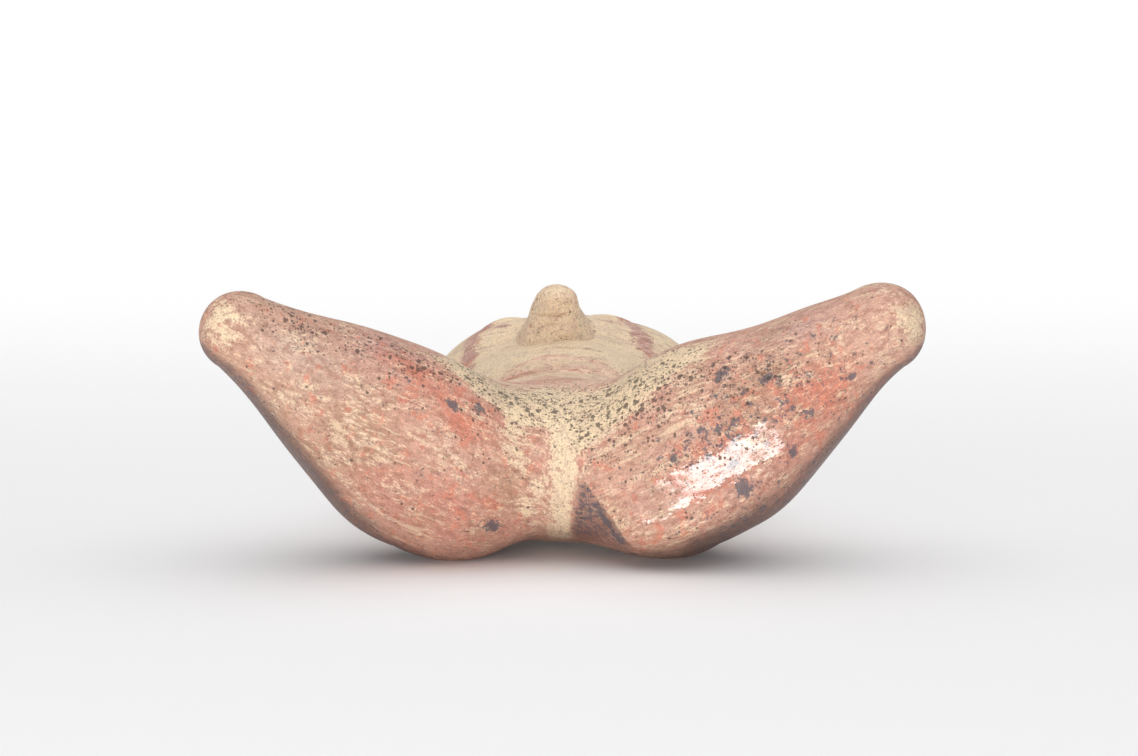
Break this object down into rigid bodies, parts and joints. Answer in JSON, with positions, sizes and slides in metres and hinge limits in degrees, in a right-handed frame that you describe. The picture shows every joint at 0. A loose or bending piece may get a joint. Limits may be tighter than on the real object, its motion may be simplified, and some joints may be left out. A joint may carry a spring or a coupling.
{
  "type": "seated hollow clay figure",
  "caption": "Hollow clay female figure seated with legs spread, in burnished red and cream slip, lying on its back; stands on its thighs when turned up.",
  "frame": {"origin": "middle of the bounding box on the plane the figure lies on; the seat plane is 85.6 mm from it along -Y", "axes": "+X to the figure's own left, +Y from its seat to its head, +Z out of its front; a turn of +90 degrees about X sits it up facing -Y"},
  "size_m": [0.1603, 0.1712, 0.0637],
  "materials": {
    "red_slip": "burnished red-brown slip over low-fired clay, worn and speckled with dark manganese",
    "cream_slip": "burnished cream slip over low-fired clay, speckled with dark manganese"
  },
  "bodies": {
    "root": {"torso_shell": "red_slip", "right_leg": "red_slip", "left_leg": "red_slip", "head_shell": "cream_slip", "nose": "cream_slip", "right_eye": "cream_slip", "left_eye": "cream_slip", "right_ear": "cream_slip", "left_ear": "cream_slip", "right_arm": "red_slip", "left_arm": "red_slip", "right_breast": "red_slip", "left_breast": "red_slip"}
  },
  "joints": []
}
